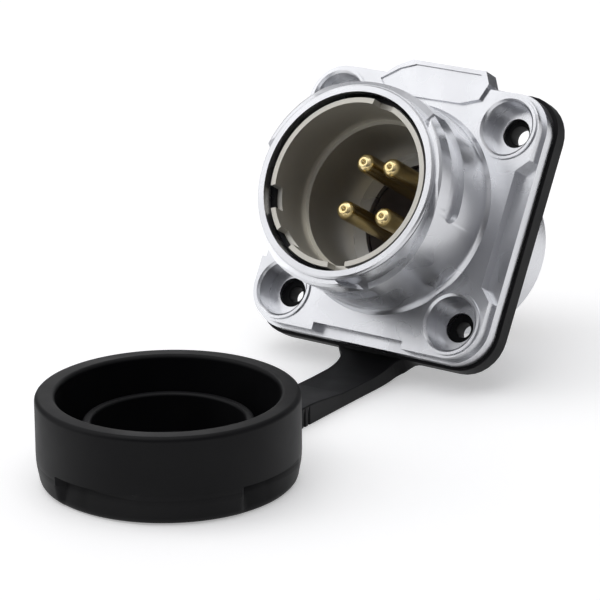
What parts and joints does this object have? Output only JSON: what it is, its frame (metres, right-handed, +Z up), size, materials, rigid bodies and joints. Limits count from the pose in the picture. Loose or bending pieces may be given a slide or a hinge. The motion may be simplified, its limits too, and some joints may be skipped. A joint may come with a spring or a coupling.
{
  "type": "panel-mount circular connector receptacle",
  "caption": "Square-flange panel receptacle with gold pins in a plated bayonet barrel, a rubber gasket, and a dust cap on a moulded strap.",
  "frame": {"origin": "centre of the gasket's back face, where it meets the panel", "axes": "+Y into the panel along the connector's axis, the mouth faces -Y, +Z up towards the blank tab, +X to the right seen from the front"},
  "size_m": [0.036, 0.0715, 0.069],
  "materials": {
    "chrome_casting": "polished nickel-chrome plate on a die casting",
    "gold_contact": "gold plate, satin",
    "black_rubber": "matte moulded rubber",
    "dark_insulator": "moulded thermoset"
  },
  "bodies": {
    "receptacle": {"shell": "chrome_casting", "mouth_seal": "black_rubber", "ring_seal": "black_rubber", "front_insulator": "dark_insulator", "rear_insulator": "dark_insulator", "retaining_nut": "chrome_casting", "pin_1": "gold_contact", "pin_2": "gold_contact", "pin_3": "gold_contact", "pin_4": "gold_contact", "gasket": "black_rubber"},
    "strap": {"strap": "black_rubber"},
    "cap": {"cap": "black_rubber"}
  },
  "joints": [
    {"name": "strap_bend", "type": "hinge", "parent": "receptacle", "child": "strap", "pos_m": [0, -0.0011, -0.0194], "axis": [-0.9991, -0.0363, -0.0209], "range_deg": [-60, 25]},
    {"name": "cap_fold", "type": "hinge", "parent": "strap", "child": "cap", "pos_m": [0.00108, -0.02334, -0.03224], "axis": [-0.9991, -0.0363, -0.0209], "range_deg": [-25, 90]}
  ]
}
